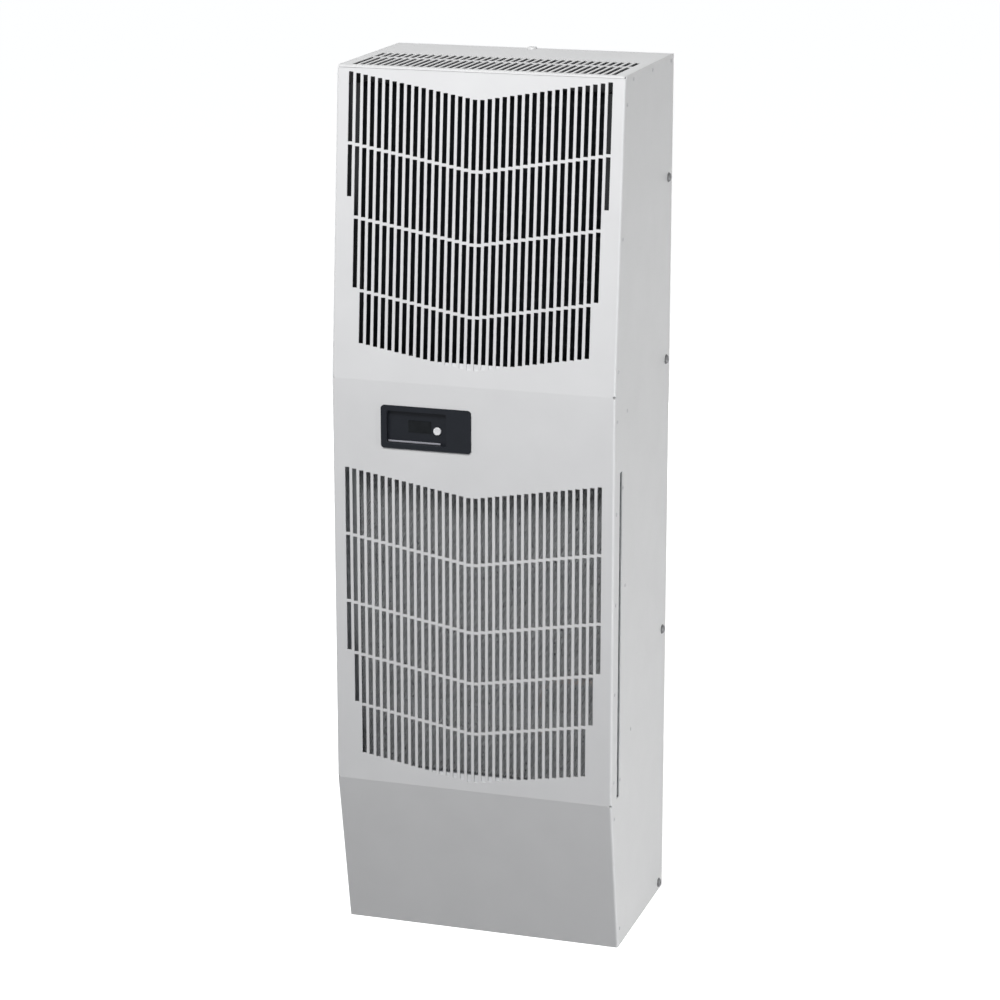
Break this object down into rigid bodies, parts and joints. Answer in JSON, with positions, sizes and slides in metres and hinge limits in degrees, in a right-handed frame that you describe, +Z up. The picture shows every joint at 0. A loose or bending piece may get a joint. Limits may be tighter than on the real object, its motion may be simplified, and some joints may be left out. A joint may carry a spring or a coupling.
{
  "type": "enclosure cooling unit",
  "caption": "Tall side-mounted cooling unit for an electrical enclosure, with slotted front grilles, a washable filter in a side slot, a refrigerant circuit and a rear air inlet and outlet.",
  "frame": {"origin": "centre of the underside of the box round the unit, on the surface that it stands on", "axes": "+Z up, +Y towards the rear, which fastens to the enclosure, +X to the right of someone who faces the front, where the filter slides out"},
  "size_m": [0.4386, 0.313, 1.324],
  "materials": {
    "front_paint": "fine textured light grey powder coat",
    "case_paint": "fine textured light grey powder coat",
    "baffle_paint": "light grey powder coat",
    "zinc_sheet": "galvanised sheet, spangled",
    "dark_sheet": "dark grey painted sheet inside the unit",
    "filter_aluminium": "dull rolled aluminium frame",
    "filter_wire": "layers of crinkled aluminium mesh",
    "foam": "closed cell foam sheet",
    "bezel_plastic": "dark grey moulded plastic, fine grain",
    "ledge_silver": "bright satin strip",
    "display_glass": "smoked display window",
    "button_plastic": "white moulded button",
    "dark_plastic": "dark moulded plastic",
    "ivory_plastic": "ivory moulded plastic",
    "aluminium_can": "drawn aluminium can",
    "dark_fins": "dark coated aluminium fins",
    "fins": "bare aluminium fins",
    "copper": "dull drawn copper",
    "black_plastic": "black glass-filled plastic",
    "motor_paint": "black enamel",
    "motor_casting": "die cast aluminium",
    "bright_wire": "bright plated wire",
    "wheel_aluminium": "pressed aluminium",
    "compressor_paint": "gloss black enamel over steel",
    "rubber": "black rubber",
    "zinc_fastener": "zinc plated steel",
    "drier_paint": "copper body",
    "valve_brass": "machined brass",
    "pan_plastic": "pale moulded plastic",
    "gasket_rubber": "black closed cell gasket",
    "rivet_paint": "painted rivet heads"
  },
  "bodies": {
    "chassis": {"front_panel": "front_paint", "top_panel": "case_paint", "left_side_panel": "case_paint", "right_side_panel": "case_paint", "rear_panel": "case_paint", "rear_strips": "case_paint", "base_pan": "zinc_sheet", "partition": "dark_sheet", "partition_foam": "foam", "cross_brace": "zinc_sheet", "upper_baffle": "baffle_paint", "lower_baffle": "baffle_paint", "filter_lower_rail": "zinc_sheet", "filter_upper_rail": "zinc_sheet", "filter_side_rails": "zinc_sheet", "controller_bezel": "bezel_plastic", "ledge_strip": "ledge_silver", "display_window": "display_glass", "controller_housing": "dark_plastic", "control_box": "zinc_sheet", "control_box_cover": "zinc_sheet", "terminal_block": "ivory_plastic", "contactor": "dark_plastic", "run_capacitor": "aluminium_can", "condenser_fins": "dark_fins", "condenser_tubes": "copper", "condenser_end_plates": "dark_sheet", "fan_shroud": "dark_sheet", "fan_motor": "motor_paint", "fan_motor_bracket": "dark_sheet", "evaporator_fins": "fins", "evaporator_tubes": "copper", "evaporator_end_plates": "zinc_sheet", "inlet_ring": "zinc_sheet", "inlet_guard": "bright_wire", "blower_motor": "motor_casting", "compressor": "compressor_paint", "compressor_feet": "rubber", "compressor_bolts": "zinc_fastener", "accumulator": "compressor_paint", "discharge_line": "copper", "liquid_line": "copper", "suction_line": "copper", "filter_drier": "drier_paint", "expansion_valve": "valve_brass", "condensate_pan": "pan_plastic", "drain_tube": "pan_plastic", "drain_fitting": "black_plastic", "gasket": "gasket_rubber", "mounting_nuts": "zinc_fastener", "cable_gland": "black_plastic", "lifting_insert": "case_paint", "rivets": "rivet_paint", "side_bolts": "zinc_fastener"},
    "filter": {"filter_frame": "filter_aluminium", "filter_mesh": "filter_wire"},
    "fan": {"condenser_fan": "black_plastic"},
    "blower": {"blower_wheel": "wheel_aluminium", "blower_rotor": "black_plastic"},
    "button": {"push_button": "button_plastic"}
  },
  "joints": [
    {"name": "filter_slide", "type": "slide", "parent": "chassis", "child": "filter", "axis": [1, 0, 0], "range_m": [0, 0.4]},
    {"name": "fan_spin", "type": "hinge", "parent": "chassis", "child": "fan", "pos_m": [0, -0.0305, 1.081], "axis": [0, 1, 0], "continuous": true},
    {"name": "blower_spin", "type": "hinge", "parent": "chassis", "child": "blower", "pos_m": [0, 0.08, 1.09], "axis": [0, 1, 0], "continuous": true},
    {"name": "button_press", "type": "slide", "parent": "chassis", "child": "button", "axis": [0, 1, 0], "range_m": [0, 0.0015], "stiffness_N_per_m": 400}
  ]
}
